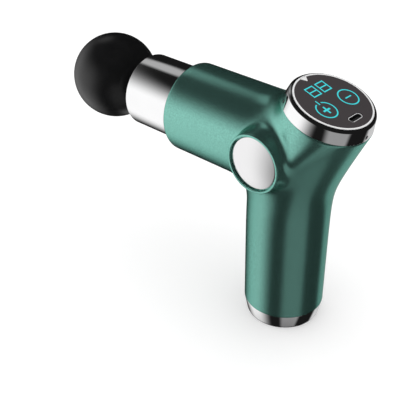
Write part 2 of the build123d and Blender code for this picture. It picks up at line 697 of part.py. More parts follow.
with BuildPart() as glass_bezel:
    ring(on_display(-GLASS_T), BEZEL_OUT_R, BEZEL_IN_R, GLASS_T + BEZEL_PROUD)
    with BuildSketch(on_display(0.02)) as pointer:
        with BuildLine():
            Polyline((-18.9, -2.5), (POINTER_TIP_U, 0), (-18.9, 2.5), close=True)
        make_face()
    extrude(pointer.sketch, amount=BEZEL_PROUD - 0.02)
save(glass_bezel.part, "glass_bezel")


def slot(plane, width, height, depth, mode=Mode.ADD):
    """Adds or cuts a long slot across the display, round at both ends."""
    with BuildSketch(plane) as outline:
        SlotOverall(width, height, rotation=90)
    extrude(outline.sketch, amount=depth, mode=mode)


def digit(plane, center_v):
    """A figure eight of two stacked squares, drawn as one outline."""
    with BuildSketch(plane) as figure:
        with Locations((DIGIT_U, center_v)):
            Rectangle(DIGIT_H, DIGIT_W)
        window = (DIGIT_H - 3 * LINE_W) / 2
        for side in (-1, 1):
            with Locations((DIGIT_U + side * (window + LINE_W) / 2, center_v)):
                Rectangle(window, DIGIT_W - 2 * LINE_W, mode=Mode.SUBTRACT)
    return figure.sketch


def key_ring(plane, center, broken):
    """Circle of a touch key; the broken one has a gap and a short stroke at the front."""
    with BuildSketch(plane) as outline:
        with Locations(center):
            Circle(KEY_R)
            Circle(KEY_R - LINE_W, mode=Mode.SUBTRACT)
        if broken:
            with Locations((center[0] - KEY_R, center[1])):
                Rectangle(3.4, 3.2, mode=Mode.SUBTRACT)
    return outline.sketch


def bar(plane, center, length_u, length_v):
    with BuildSketch(plane) as outline:
        with Locations(center):
            Rectangle(length_u, length_v)
    return outline.sketch


def icon_shapes(plane):
    """All luminous shapes of the display, each a separate sketch on the plane."""
    plus_u, plus_v = PLUS_KEY
    shapes = [digit(plane, v) for v in DIGIT_V]
    shapes.append(key_ring(plane, MINUS_KEY, False))
    shapes.append(bar(plane, MINUS_KEY, LINE_W, 4.3))
    shapes.append(key_ring(plane, PLUS_KEY, True))
    shapes.append(bar(plane, (plus_u - KEY_R, plus_v), 2.8, LINE_W))
    with BuildSketch(plane) as plus:
        with Locations(PLUS_KEY):
            Rectangle(1.0, 4.6)
            Rectangle(4.6, 1.0)
    shapes.append(plus.sketch)
    return shapes


with BuildPart() as display_glass:
    rod(on_display(-GLASS_T), GLASS_R, GLASS_T)
    slot(on_display(-GLASS_T, USB_U), USB_W + 0.4, USB_H + 0.4, GLASS_T, Mode.SUBTRACT)
    for shape in icon_shapes(on_display(-ICON_T)):
        extrude(shape, amount=ICON_T, mode=Mode.SUBTRACT)
save(display_glass.part, "display_glass")

with BuildPart() as icon_windows:
    for shape in icon_shapes(on_display(-ICON_T)):
        extrude(shape, amount=ICON_T)
save(icon_windows.part, "icon_windows")

with BuildPart() as usb_shell:
    slot(on_display(USB_TOP, USB_U), USB_W, USB_H, -USB_DEPTH)
    slot(on_display(USB_TOP, USB_U), USB_MOUTH_W, USB_MOUTH_H, USB_BACK_T - USB_DEPTH, Mode.SUBTRACT)
save(usb_shell.part, "usb_shell")

with BuildPart() as usb_tongue:
    with BuildSketch(on_display(USB_TOP - USB_DEPTH + USB_BACK_T, USB_U)) as tongue:
        Rectangle(0.7, 6.69)
    extrude(tongue.sketch, amount=USB_DEPTH - 2 * USB_BACK_T)
save(usb_tongue.part, "usb_tongue")

with BuildPart() as display_board:
    rod(on_display(BOARD_TOP - 0.02), DISPLAY_BOARD_R, -DISPLAY_BOARD_T)
    slot(on_display(BOARD_TOP + 1, USB_U), USB_W + 0.3, USB_H + 0.3, -4, Mode.SUBTRACT)
    for u, v in BOARD_SCREWS:
        rod(on_display(BOARD_TOP + 1, u, v), 0.9, -4, Mode.SUBTRACT)
save(display_board.part, "display_board")

with BuildPart() as digit_module:
    block(on_display(BOARD_TOP, DIGIT_U), 9.0, 16.0, -BOARD_TOP - GLASS_T - 0.1)
save(digit_module.part, "digit_module")

with BuildPart() as touch_springs:
    for u, v in (MINUS_KEY, PLUS_KEY):
        ring(on_display(BOARD_TOP, u, v), 3.6, 3.0, -BOARD_TOP - GLASS_T - 0.6)
        rod(on_display(-GLASS_T - 0.6, u, v), 3.9, 0.55)
save(touch_springs.part, "touch_springs")

with BuildPart() as board_screws:
    for u, v in BOARD_SCREWS:
        screw(on_display(BOARD_TOP - DISPLAY_BOARD_T - 0.04, u, v), 1.5, -1.0, 0.8, 3.0)
save(board_screws.part, "board_screws")

# ---------------------------------------------------------------- battery and electronics
HOLDER_T = 1.6
TAB_T = 0.2
CELL_TOP_Z = CELL_Z + CELL_L
BOARD_Z = 16.0
BOARD_H = 58.0
REAR = BOARD_X + BOARD_T      # component side of the control board

with BuildPart() as battery_cells:
    for side in (-1, 1):
        rod(level(CELL_Z, CELL_X, side * CELL_Y), CELL_R, CELL_L - 1.0)
        rod(level(CELL_TOP_Z - 1.0, CELL_X, side * CELL_Y), 3.6, 1.0)
save(battery_cells.part, "battery_cells")

with BuildPart() as cell_tabs:
    block(level(CELL_Z - TAB_T, CELL_X), 6.0, 24.0, TAB_T)
    for side in (-1, 1):
        block(level(CELL_TOP_Z, CELL_X, side * CELL_Y), 6.0, 9.0, TAB_T)
save(cell_tabs.part, "cell_tabs")


def cell_holder(z, rib_z, rib_h, name):
    """Oval end plate for the two cells, with ribs that stand in the gaps between them."""
    with BuildPart() as holder:
        with BuildSketch(level(z)) as outline:
            with Locations((CELL_X, CELL_Y), (CELL_X, -CELL_Y)):
                Circle(CELL_R + 0.1)
            make_hull()
        extrude(outline.sketch, amount=HOLDER_T)
        for x in (-7.4, 7.4):
            rod(level(rib_z, CELL_X + x), 1.9, rib_h)
    save(holder.part, name)


cell_holder(CELL_Z - TAB_T - HOLDER_T, CELL_Z - TAB_T, 9.0, "lower_cell_holder")
cell_holder(CELL_TOP_Z + TAB_T, CELL_TOP_Z + TAB_T - 9.0, 9.0, "upper_cell_holder")

with BuildPart() as control_board:
    block(forward(BOARD_X, 0, BOARD_Z + BOARD_H / 2), BOARD_W, BOARD_H, BOARD_T)
save(control_board.part, "control_board")

with BuildPart() as board_components:
    block(forward(REAR, 0, 44.0), 7.0, 7.0, 1.0)
    for y in (-7.0, 0.0, 7.0):
        block(forward(REAR, y, 56.0), 5.0, 6.0, 1.2)
    for y in (-5.0, 5.0):
        rod(forward(REAR, y, 24.0), 3.0, 3.0)
    block(forward(REAR, 0, 32.0), 8.0, 8.0, 3.2, corner=1.0)
    for y in (-7.5, 0.0, 7.5):
        block(forward(REAR, y, 69.5), 5.4, 4.6, 3.0)
save(board_components.part, "board_components")


def lead(points, radius):
    """Round wire along a hand-picked route: straight runs joined by wide tangent arcs."""
    runs = [Vector(*b) - Vector(*a) for a, b in zip(points, points[1:])]
    radii = []
    for before, after in zip(runs, runs[1:]):
        half_turn = radians(before.get_angle(after)) / 2
        radii.append(0.45 * min(before.length, after.length) / tan(half_turn))
    print("lead radii", [round(r, 2) for r in radii])
    with BuildLine() as route:
        FilletPolyline(*points, radius=radii)
    with BuildSketch(Plane(origin=points[0], z_dir=runs[0])) as section:
        Circle(radius)
    sweep(section.sketch, path=route.line)


MOTOR_LEAD = [
    (14.2, 7.5, 71.9),
    (14.2, 7.8, 76.5),
    (11.0, 9.6, 81.0),
    (6.0, 11.3, 83.6),
    (3.0, 12.0, 87.2),
]
BATTERY_LEAD_MINUS = [
    (-1.5, -9.2, 80.25),
    (0.8, -9.6, 82.6),
    (5.8, -9.2, 83.4),
    (10.6, -8.9, 81.6),
    (13.4, -8.7, 77.6),
    (13.9, -8.6, 71.9),
]
BATTERY_LEAD_PLUS = [
    (-1.5, 7.0, 80.25),
    (0.4, 4.0, 82.8),
    (4.6, -0.8, 83.6),
    (9.6, -4.2, 82.0),
    (13.2, -6.0, 77.8),
    (13.9, -6.3, 71.9),
]
DISPLAY_CABLE = [
    (14.6, 0.0, 71.9),
    (15.0, 0.3, 79.0),
    (16.6, -0.4, 88.0),
    (17.4, 0.3, 97.0),
    (19.6, -0.3, 106.0),
    (22.4, 0.0, 114.0),
]

with BuildPart() as motor_lead:
    lead(MOTOR_LEAD, 1.2)
save(motor_lead.part, "motor_lead")

with BuildPart() as display_cable:
    lead(DISPLAY_CABLE, 1.1)
save(display_cable.part, "display_cable")

with BuildPart() as battery_leads:
    lead(BATTERY_LEAD_MINUS, 0.75)
    lead(BATTERY_LEAD_PLUS, 0.75)
save(battery_leads.part, "battery_leads")
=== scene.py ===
"""Looks for the compact massage gun: smooth housing, polished metal, dark display, studio."""

import json
import math

import bmesh
import bpy
import numpy as np
from mathutils import Matrix, Vector

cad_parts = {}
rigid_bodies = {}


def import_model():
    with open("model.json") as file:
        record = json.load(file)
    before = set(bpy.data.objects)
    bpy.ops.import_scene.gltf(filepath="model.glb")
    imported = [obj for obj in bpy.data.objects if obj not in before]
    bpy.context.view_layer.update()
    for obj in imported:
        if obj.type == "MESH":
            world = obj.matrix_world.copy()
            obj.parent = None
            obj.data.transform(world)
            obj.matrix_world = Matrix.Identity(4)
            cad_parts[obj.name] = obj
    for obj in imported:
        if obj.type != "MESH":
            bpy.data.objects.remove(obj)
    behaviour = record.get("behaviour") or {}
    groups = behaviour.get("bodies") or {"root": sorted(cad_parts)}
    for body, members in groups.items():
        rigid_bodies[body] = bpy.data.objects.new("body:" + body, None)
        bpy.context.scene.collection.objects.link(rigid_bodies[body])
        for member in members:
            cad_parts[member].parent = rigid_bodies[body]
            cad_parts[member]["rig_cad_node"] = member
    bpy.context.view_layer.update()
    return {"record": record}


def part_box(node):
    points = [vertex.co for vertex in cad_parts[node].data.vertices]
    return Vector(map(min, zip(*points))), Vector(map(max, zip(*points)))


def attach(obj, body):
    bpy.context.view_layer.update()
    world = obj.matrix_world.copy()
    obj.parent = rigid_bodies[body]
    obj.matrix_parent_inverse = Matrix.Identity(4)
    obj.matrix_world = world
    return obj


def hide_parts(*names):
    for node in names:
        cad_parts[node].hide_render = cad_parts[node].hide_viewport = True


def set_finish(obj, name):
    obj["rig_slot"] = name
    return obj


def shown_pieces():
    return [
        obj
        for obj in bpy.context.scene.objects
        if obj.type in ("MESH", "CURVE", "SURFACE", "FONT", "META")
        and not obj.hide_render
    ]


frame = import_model()

MM = 0.001

# ---------------------------------------------------------------- named sizes, in mm
WALL = 1.6
FOOT_TOP_Z = 8.75
HANDLE_LOW_R = 21.2
HANDLE_R = 21.6
WAIST_Z = 84.0
AXIS_Z = 100.0
BARREL_R = 24.0
BARREL_FRONT_X = -65.5
BARREL_EDGE_R = 2.2
COLLAR_JOIN_X = -60.0
COLLAR_LAP = 2.0
COLLAR_STEP = 0.15
COLLAR_FRONT = 3.0
SLEEVE_HOLE_R = 19.95
SLEEVE_R = 19.9
SLEEVE_IN_R = 18.9
SLEEVE_FRONT_X = -97.6
SLEEVE_REAR_X = -62.4
SLEEVE_STEP_X = -93.4
SLEEVE_STEP_W = 1.2
SLEEVE_STEP_H = 1.0
SLEEVE_FLANGE_W = 2.0
SLEEVE_FLANGE_H = 1.6
SEAL_IN_R = 11.3
BOSS_Z = 102.0
BOSS_R = 14.95
BOSS_FACE_Y = 30.0
BOSS_EDGE_R = 0.7
BOSS_FLARE = 0.1
RIM_R = 14.9
RIM_SEAT_R = 11.5
RIM_TOP_Y = 30.35
RIM_BASE = -0.9
PLATE_R = 13.3
PLATE_GAP = 0.35
PLATE_SEAT_Y = 28.9
PLATE_TOP_Y = 30.8
PLATE_CROWN = 1.5
DISPLAY_LEAN = math.radians(18.8)
DISPLAY_AT = np.array([21.6, 0.0, 130.6])
BAND_H = 7.3
BAND_LOW_R = 22.2
BAND_IN_R = 19.65
GLASS_SEAT_R = 19.35
GLASS_HOLE_R = 17.3
GLASS_SEAT_W = -1.35
BEZEL_R = 19.3
BEZEL_IN_R = 18.5
RING_SCREW_ANGLES = (0.0, math.radians(135), math.radians(-135))
RING_SCREW_W = -5.3
RING_HOLE_R = 0.95
RING_HOLE_FROM_R = 18.5
RING_HOLE_L = 5.0
USB_U = 12.9
USB_W = 8.94
USB_H = 3.26
USB_WALL = 0.3
USB_TOP = -0.3
USB_DEPTH = 7.3
BALL_R = 24.0
BALL_X = -127.7
BALL_SKIN = 1.6
COLLAR_R = 10.8
COLLAR_REAR_X = -83.5
SPIGOT_R = 8.0
STEM_FLANGE_W = 2.4
STEM_FLANGE_H = 2.5
FOOT_SOLE_R = 17.6
FOOT_SEAT_R = 17.65
FOOT_NECK_R = 19.25
FOOT_FLOOR_Z = 5.4

W_DIR = np.array([math.sin(DISPLAY_LEAN), 0.0, math.cos(DISPLAY_LEAN)])
U_DIR = np.array([math.cos(DISPLAY_LEAN), 0.0, -math.sin(DISPLAY_LEAN)])
BRIM = DISPLAY_AT - BAND_H * W_DIR

# centreline of the handle and neck: upright below, leaning above, bending softly between
NECK_SLOPE = math.tan(math.radians(25.0))
NECK_BEND = 7.0
NECK_BEND_Z = BRIM[2] - BRIM[0] / NECK_SLOPE
BARREL_REAR_X = 15.0
BARREL_REAR_LEAN = 0.7
BARREL_REAR_R = 4.0
NECK_BARREL_BLEND = 14.5
BOSS_BLEND = 4.6
NECK_TOP_R = BAND_LOW_R - 0.1
BRIM_ROOM = 0.25
BRIM_FLARE = 1.4
BRIM_CURL = 0.1
BRIM_BLEND = 1.2

# grid that the housing's form is sampled on, and rounds of evening it out
GRID_LOW, GRID_HIGH = (-64.0, -32.0, 6.0), (46.0, 2.0, 136.0)
GRID_STEP = 0.8
EVEN_ROUNDS = 6


# ---------------------------------------------------------------- the housing's smooth form
def smooth_min(a, b, reach):
    overlap = np.maximum(reach - np.abs(a - b), 0) / reach
    return np.minimum(a, b) - overlap**3 * reach / 6


def rounded_meet(a, b, radius):
    """Distance to the intersection of two solids whose shared edge is rounded."""
    qa, qb = a + radius, b + radius
    within = np.minimum(np.maximum(qa, qb), 0)
    return within + np.hypot(np.maximum(qa, 0), np.maximum(qb, 0)) - radius


def spine_distance(x, y, z):
    """Distance to the handle and neck, one tube that leans back into the display head."""
    along = z
    for _ in range(4):
        rise = (along - NECK_BEND_Z) / NECK_BEND
        share = 1 / (1 + np.exp(-rise))
        centre = NECK_SLOPE * NECK_BEND * np.logaddexp(0, rise)
        slope = NECK_SLOPE * share
        bend = slope * (1 - share) / NECK_BEND
        stiff = np.maximum(1 + slope * slope - bend * (x - centre), 0.4)
        along = along + (z - along + slope * (x - centre)) / stiff
    sideways = np.sign(x - centre) * np.hypot(x - centre, z - along)
    widening = HANDLE_R - HANDLE_LOW_R
    handle = HANDLE_LOW_R + widening * (along - FOOT_TOP_Z) / (WAIST_Z - FOOT_TOP_Z)
    up_neck = np.clip((along - NECK_BEND_Z) / (BRIM[2] - NECK_BEND_Z), 0, 1.3)
    radius = np.minimum(handle, HANDLE_R) + (NECK_TOP_R - HANDLE_R) * up_neck**2
    return np.hypot(sideways, y) - radius


def housing_form(p):
    """Signed distance, negative inside, to the outer form of the housing."""
    x, y, z = p[..., 0], p[..., 1], p[..., 2]
    spine = spine_distance(x, y, z)
    barrel = rounded_meet(np.hypot(y, z - AXIS_Z) - BARREL_R, BARREL_FRONT_X - x, BARREL_EDGE_R)
    rear = (x - BARREL_REAR_X - BARREL_REAR_LEAN * (z - AXIS_Z)) / math.hypot(1, BARREL_REAR_LEAN)
    barrel = rounded_meet(barrel, rear, BARREL_REAR_R)
    across = np.abs(y)
    flare = np.hypot(x, z - BOSS_Z) - BOSS_R - (BOSS_FACE_Y - across) * BOSS_FLARE
    boss = rounded_meet(flare / math.hypot(1, BOSS_FLARE), across - BOSS_FACE_Y, BOSS_EDGE_R)
    body = smooth_min(smooth_min(spine, barrel, NECK_BARREL_BLEND), boss, BOSS_BLEND)
    below = (BRIM - p) @ W_DIR
    from_axis = np.hypot((p - BRIM) @ U_DIR, y)
    flared = BAND_LOW_R + BRIM_ROOM + BRIM_FLARE * below + BRIM_CURL * np.maximum(below, 0) ** 2
    brim = (from_axis - flared) / math.hypot(1, BRIM_FLARE)
    return -smooth_min(-body, -brim, BRIM_BLEND)


def gradient(p, field, reach=0.02):
    rows = []
    for axis in np.eye(3) * reach:
        rows.append((field(p + axis) - field(p - axis)) / (2 * reach))
    return np.stack(rows, -1)


def settle(p, field, rounds):
    """Moves points onto the surface where the field is zero."""
    for _ in range(rounds):
        g = gradient(p, field)
        p = p - (field(p) / np.maximum((g * g).sum(-1), 0.05))[:, None] * g
    return p


def surface_net(field, low, high, step):
    """Quad mesh of the field's zero surface on a regular grid."""
    axes = [np.arange(a, b + step, step) for a, b in zip(low, high)]
    inside = field(np.stack(np.meshgrid(*axes, indexing="ij"), -1)) < 0
    cells = [n - 1 for n in inside.shape]
    count = np.zeros(cells, int)
    for i in (0, 1):
        for j in (0, 1):
            for k in (0, 1):
                count += inside[i : cells[0] + i, j : cells[1] + j, k : cells[2] + k]
    active = (count > 0) & (count < 8)
    index = np.full(cells, -1)
    index[active] = np.arange(active.sum())
    points = np.array(low) + (np.argwhere(active) + 0.5) * step
    quads = []
    for axis in range(3):
        b, c = (axis + 1) % 3, (axis + 2) % 3
        first = np.take(inside, range(inside.shape[axis] - 1), axis)
        second = np.take(inside, range(1, inside.shape[axis]), axis)
        at = np.argwhere(first != second)
        at = at[(at[:, b] > 0) & (at[:, c] > 0) & (at[:, b] < cells[b]) & (at[:, c] < cells[c])]
        corners = []
        for db, dc in ((-1, -1), (0, -1), (0, 0), (-1, 0)):
            cell = at.copy()
            cell[:, b] += db
            cell[:, c] += dc
            corners.append(index[cell[:, 0], cell[:, 1], cell[:, 2]])
        quad = np.stack(corners, -1)
        outward = first[at[:, 0], at[:, 1], at[:, 2]]
        quads.append(np.where(outward[:, None], quad, quad[:, ::-1]))
    return points, np.concatenate(quads)


def relax(points, quads, field, rounds):
    """Evens out the mesh along the surface."""
    edges = np.concatenate([quads[:, [k, (k + 1) % 4]] for k in range(4)])
    ends = np.concatenate([edges[:, 0], edges[:, 1]])
    others = np.concatenate([edges[:, 1], edges[:, 0]])
    number = np.bincount(ends, minlength=len(points))
    for _ in range(rounds):
        mean = np.stack([np.bincount(ends, points[others, k], len(points)) for k in range(3)], -1)
        points = 0.5 * points + 0.5 * mean / number[:, None]
        points = settle(points, field, 1)
    return settle(points, field, 3)


# ---------------------------------------------------------------- mesh building
def make_object(name, points, faces, body, slot, replaced=(), sharp=35.0, normals=None):
    """Object from points in mm, smooth apart from edges sharper than the angle in degrees."""
    mesh = bpy.data.meshes.new(name)
    corners = [tuple(int(i) for i in f) for f in faces]
    mesh.from_pydata([tuple(p) for p in np.asarray(points) * MM], [], corners)
    mesh.validate()
    mesh.update()
    mesh.shade_smooth()
    if normals is None:
        mesh.set_sharp_from_angle(angle=math.radians(sharp))
    else:
        mesh.normals_split_custom_set([tuple(n) for n in normals])
    obj = bpy.data.objects.new(name, mesh)
    bpy.context.scene.collection.objects.link(obj)
    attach(obj, body)
    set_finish(obj, slot)
    if replaced:
        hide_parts(*replaced)
    return obj


def softened(corners, steps=5):
    """Closed profile with each corner (a, b, radius) turned into a short arc."""
    out = []
    n = len(corners)
    for k in range(n):
        p = np.array(corners[k][:2], float)
        radius = corners[k][2] if len(corners[k]) > 2 else 0.0
        if not radius:
            out.append(p)
            continue
        before = np.array(corners[k - 1][:2], float) - p
        after = np.array(corners[(k + 1) % n][:2], float) - p
        lb, la = np.linalg.norm(before), np.linalg.norm(after)
        before, after = before / lb, after / la
        half = math.acos(max(-1.0, min(1.0, float(before @ after)))) / 2
        reach = min(radius / math.tan(half), 0.45 * lb, 0.45 * la)
        r = reach * math.tan(half)
        middle = p + (before + after) / np.linalg.norm(before + after) * (r / math.sin(half))
        a0, a1 = p + before * reach - middle, p + after * reach - middle
        sweep = math.acos(max(-1.0, min(1.0, float(a0 @ a1) / max(r * r, 1e-12))))
        turn = math.copysign(sweep, a0[0] * a1[1] - a0[1] * a1[0])
        for i in range(steps + 1):
            c, s = math.cos(turn * i / steps), math.sin(turn * i / steps)
            out.append(middle + np.array([a0[0] * c - a0[1] * s, a0[0] * s + a0[1] * c]))
    return np.array(out)


def arc_points(centre, radius, start, end, steps):
    """Points (r, h) of an arc in the profile plane; angles in degrees from the r direction."""
    out = []
    for a in np.radians(np.linspace(start, end, steps + 1)):
        out.append((centre[0] + radius * math.cos(a), centre[1] + radius * math.sin(a)))
    return out


def lathe(profile, origin, axis, steps=160):
    """Closed profile of (radius, height) points turned about an axis; gives points and faces."""
    axis = np.array(axis, float)
    side = np.cross(axis, (0.0, 1.0, 0.0))
    if np.linalg.norm(side) < 0.5:
        side = np.array([1.0, 0.0, 0.0])
    side /= np.linalg.norm(side)
    third = np.cross(axis, side)
    profile = np.asarray(profile, float)
    radii, heights = profile.T
    area = 0.5 * np.sum(radii * np.roll(heights, -1) - np.roll(radii, -1) * heights)
    if area < 0:
        profile = profile[::-1]
    points, rows, faces = [], [], []
    for r, h in profile:
        if r < 1e-6:
            rows.append([len(points)] * steps)
            points.append(np.array(origin) + axis * h)
            continue
        rows.append(list(range(len(points), len(points) + steps)))
        for i in range(steps):
            a = 2 * math.pi * i / steps
            out = side * math.cos(a) + third * math.sin(a)
            points.append(np.array(origin) + axis * h + r * out)
    for k in range(len(rows)):
        low, high = rows[k], rows[(k + 1) % len(rows)]
        for i in range(steps):
            j = (i + 1) % steps
            ring = [low[i], low[j], high[j], high[i]]
            face = [v for n, v in enumerate(ring) if v != ring[n - 1]]
            if len(set(face)) >= 3:
                faces.append(face)
    return points, faces


def turned(name, profile, origin, axis, body, slot, replaced, sharp=35.0, steps=160):
    points, faces = lathe(profile, origin, axis, steps)
    return make_object(name, points, faces, body, slot, replaced, sharp)


# ---------------------------------------------------------------- housing shells
def left_shell_mesh():
    """Points, faces and corner normals of the left half, a closed shell of even thickness."""
    points, quads = surface_net(housing_form, GRID_LOW, GRID_HIGH, GRID_STEP)
    quads = quads[(quads >= 0).all(1)]
    settled = settle(points, housing_form, EVEN_ROUNDS)
    points = relax(settled, quads, housing_form, EVEN_ROUNDS)
    bm = bmesh.new()
    made = [bm.verts.new(p) for p in points]
    for q in quads:
        bm.faces.new([made[i] for i in q])
    planes = [
        (np.array([0.0, 0.0, 0.0]), np.array([0.0, 1.0, 0.0])),
        (np.array([0.0, 0.0, FOOT_TOP_Z]), np.array([0.0, 0.0, -1.0])),
        (BRIM, W_DIR),
        (np.array([COLLAR_JOIN_X, 0.0, 0.0]), np.array([-1.0, 0.0, 0.0])),
    ]
    for at, out in planes:
        geometry = bm.verts[:] + bm.edges[:] + bm.faces[:]
        bmesh.ops.bisect_plane(
            bm, geom=geometry, dist=1e-5, plane_co=at, plane_no=out, clear_outer=True
        )

    def under_rim(v):
        return math.hypot(v.co.x, v.co.z - BOSS_Z) < RIM_R - 0.5 and v.co.y < -PLATE_SEAT_Y

    covered = [f for f in bm.faces if all(under_rim(v) for v in f.verts)]
    bmesh.ops.delete(bm, geom=covered, context="FACES")
    loose = [v for v in bm.verts if not v.link_faces]
    bmesh.ops.delete(bm, geom=loose, context="VERTS")
    bmesh.ops.remove_doubles(bm, verts=bm.verts, dist=1e-4)
    bm.verts.index_update()
    outer = np.array([v.co for v in bm.verts])
    faces = [[v.index for v in f.verts] for f in bm.faces]
    borders = []
    for e in bm.edges:
        if len(e.link_faces) == 1:
            loop = next(l for l in e.link_loops)
            borders.append((loop.vert.index, loop.link_loop_next.vert.index))
    bm.free()
    normal = gradient(outer, housing_form)
    normal /= np.linalg.norm(normal, axis=1, keepdims=True)
    inner = outer - normal * WALL
    for at, out in planes:
        on = np.abs((outer - at) @ out) < 1e-3
        inner[on] -= ((inner[on] - at) @ out)[:, None] * out
        if abs(out[1]) > 0.5:
            normal[on, 1] = 0.0
            normal[on] /= np.linalg.norm(normal[on], axis=1, keepdims=True)
    count = len(outer)
    all_points = np.concatenate([outer, inner])
    all_faces = faces + [[i + count for i in f[::-1]] for f in faces]
    corner = [normal[i] for f in faces for i in f] + [-normal[i] for f in faces for i in f[::-1]]
    for a, b in borders:
        face = [b, a, a + count, b + count]
        p = all_points[face]
        n = np.cross(p[2] - p[0], p[3] - p[1])
        n /= max(np.linalg.norm(n), 1e-9)
        all_faces.append(face)
        corner += [n] * 4
    return all_points, all_faces, corner


def mirrored(points, faces, corner):
    """The same mesh on the other side of Y = 0."""
    flip = np.array([1.0, -1.0, 1.0])
    turned_faces, turned_corner, at = [], [], 0
    for f in faces:
        turned_faces.append(f[::-1])
        turned_corner += [n * flip for n in corner[at : at + len(f)][::-1]]
        at += len(f)
    return points * flip, turned_faces, turned_corner


def rim_profile():
    """Raised rim round the plate: radius, height above the plate's seat."""
    top = RIM_TOP_Y - PLATE_SEAT_Y
    inside = PLATE_R + PLATE_GAP
    return softened(
        [
            (RIM_SEAT_R, RIM_BASE),
            (RIM_R, RIM_BASE),
            (RIM_R, top, 0.45),
            (inside, top, 0.2),
            (inside, 0.0),
            (RIM_SEAT_R, 0.0),
        ]
    )


def collar_profile():
    """Front end of the barrel: radius, distance back from the front face."""
    back = COLLAR_JOIN_X - BARREL_FRONT_X
    return softened(
        [
            (SLEEVE_HOLE_R, 0.0, 0.3),
            (BARREL_R, 0.0, BARREL_EDGE_R),
            (BARREL_R, back),
            (BARREL_R - COLLAR_STEP, back + 0.01),
            (BARREL_R - COLLAR_STEP, back + COLLAR_LAP),
            (BARREL_R - WALL, back + COLLAR_LAP),
            (BARREL_R - WALL, COLLAR_FRONT),
            (SLEEVE_HOLE_R, COLLAR_FRONT),
        ],
        8,
    )


def half_ring(profile, origin, axis, side, steps=192):
    """Half of a turned ring on one side of Y = 0, closed at its two ends."""
    axis = np.array(axis, float)
    across = np.array([0.0, float(side), 0.0])
    up = np.cross(axis, across)
    points, faces = [], []
    n = len(profile)
    for i in range(steps // 2 + 1):
        a = math.pi * i / (steps // 2)
        out = up * math.cos(a) + across * math.sin(a)
        for r, h in profile:
            points.append(np.array(origin) + axis * h + out * r)
    for i in range(steps // 2):
        for k in range(n):
            j = (k + 1) % n
            faces.append([i * n + k, i * n + j, (i + 1) * n + j, (i + 1) * n + k])
    faces.append(list(range(n))[::-1])
    faces.append([steps // 2 * n + k for k in range(n)])
    return points, faces


def tidy_normals(obj):
    """Makes every closed part of the mesh face outward."""
    bm = bmesh.new()
    bm.from_mesh(obj.data)
    bmesh.ops.recalc_face_normals(bm, faces=bm.faces)
    bm.to_mesh(obj.data)
    bm.free()


shell = left_shell_mesh()
halves = ((-1, "left_shell", "left_housing"), (1, "right_shell", "right_housing"))
for side, shell_name, cad in halves:
    points, faces, corner = shell if side < 0 else mirrored(*shell)
    make_object(shell_name, points, faces, "housing", "housing_paint", (cad,), normals=corner)
    points, faces = lathe(rim_profile(), (0, side * PLATE_SEAT_Y, BOSS_Z), (0, side, 0), 128)
    rim = make_object(shell_name + "_rim", points, faces, "housing", "housing_paint")
    points, faces = half_ring(collar_profile(), (BARREL_FRONT_X, 0, AXIS_Z), (1, 0, 0), side)
    nose_collar = make_object(shell_name + "_collar", points, faces, "housing", "housing_paint")
    tidy_normals(rim)
    tidy_normals(nose_collar)

# ---------------------------------------------------------------- turned pieces
NOSE = (0.0, 0.0, AXIS_Z)
FORWARD = (-1.0, 0.0, 0.0)


def along_nose(corners):
    """Profile corners given as (x, radius[, round]) for a piece turned about the barrel axis."""
    return softened([(c[1], -c[0], *c[2:]) for c in corners])


turned(
    "nose_tube",
    along_nose(
        [
            (SLEEVE_FRONT_X, SLEEVE_IN_R + 0.15, 0.12),
            (SLEEVE_FRONT_X, SLEEVE_R, 0.45),
            (SLEEVE_REAR_X, SLEEVE_R),
            (SLEEVE_REAR_X, SLEEVE_R + SLEEVE_FLANGE_H, 0.1),
            (SLEEVE_REAR_X + SLEEVE_FLANGE_W, SLEEVE_R + SLEEVE_FLANGE_H, 0.1),
            (SLEEVE_REAR_X + SLEEVE_FLANGE_W, SLEEVE_IN_R),
            (SLEEVE_STEP_X + SLEEVE_STEP_W, SLEEVE_IN_R),
            (SLEEVE_STEP_X + SLEEVE_STEP_W, SLEEVE_IN_R - SLEEVE_STEP_H, 0.1),
            (SLEEVE_STEP_X, SLEEVE_IN_R - SLEEVE_STEP_H, 0.1),
            (SLEEVE_STEP_X, SLEEVE_IN_R),
            (SLEEVE_FRONT_X + 0.3, SLEEVE_IN_R, 0.1),
        ]
    ),
    NOSE, FORWARD, "housing", "nose_metal", ("nose_sleeve",), steps=224,
)
turned(
    "nose_bellows",
    along_nose(
        [
            (SLEEVE_STEP_X - 0.05, SLEEVE_IN_R - 0.05),
            (SLEEVE_STEP_X - 0.05, SEAL_IN_R + 1.0, 0.2),
            (SLEEVE_STEP_X - 1.2, SEAL_IN_R, 0.3),
            (SLEEVE_STEP_X - 2.0, SEAL_IN_R, 0.3),
            (SLEEVE_STEP_X - 2.8, SEAL_IN_R + 1.2, 0.4),
            (SLEEVE_STEP_X - 2.2, SEAL_IN_R + 3.0, 1.0),
            (SLEEVE_STEP_X - 2.2, SLEEVE_IN_R - 2.4, 0.8),
            (SLEEVE_STEP_X - 3.2, SLEEVE_IN_R - 1.2, 0.5),
            (SLEEVE_STEP_X - 3.2, SLEEVE_IN_R - 0.05, 0.2),
        ]
    ),
    NOSE, FORWARD, "housing", "soft_black", ("nose_seal",), steps=128,
)
neck_half = math.degrees(math.asin((COLLAR_R + 0.02) / BALL_R))
inner_half = math.degrees(math.asin((COLLAR_R + 0.02) / (BALL_R - BALL_SKIN)))
ball_outline = arc_points((0, 0), BALL_R, 90, -90 + neck_half, 72)
ball_outline += arc_points((0, 0), BALL_R - BALL_SKIN, -90 + inner_half, 90, 40)
turned(
    "ball_skin", ball_outline, (BALL_X, 0, AXIS_Z), FORWARD,
    "head", "head_rubber", ("head_ball",), steps=192,
)

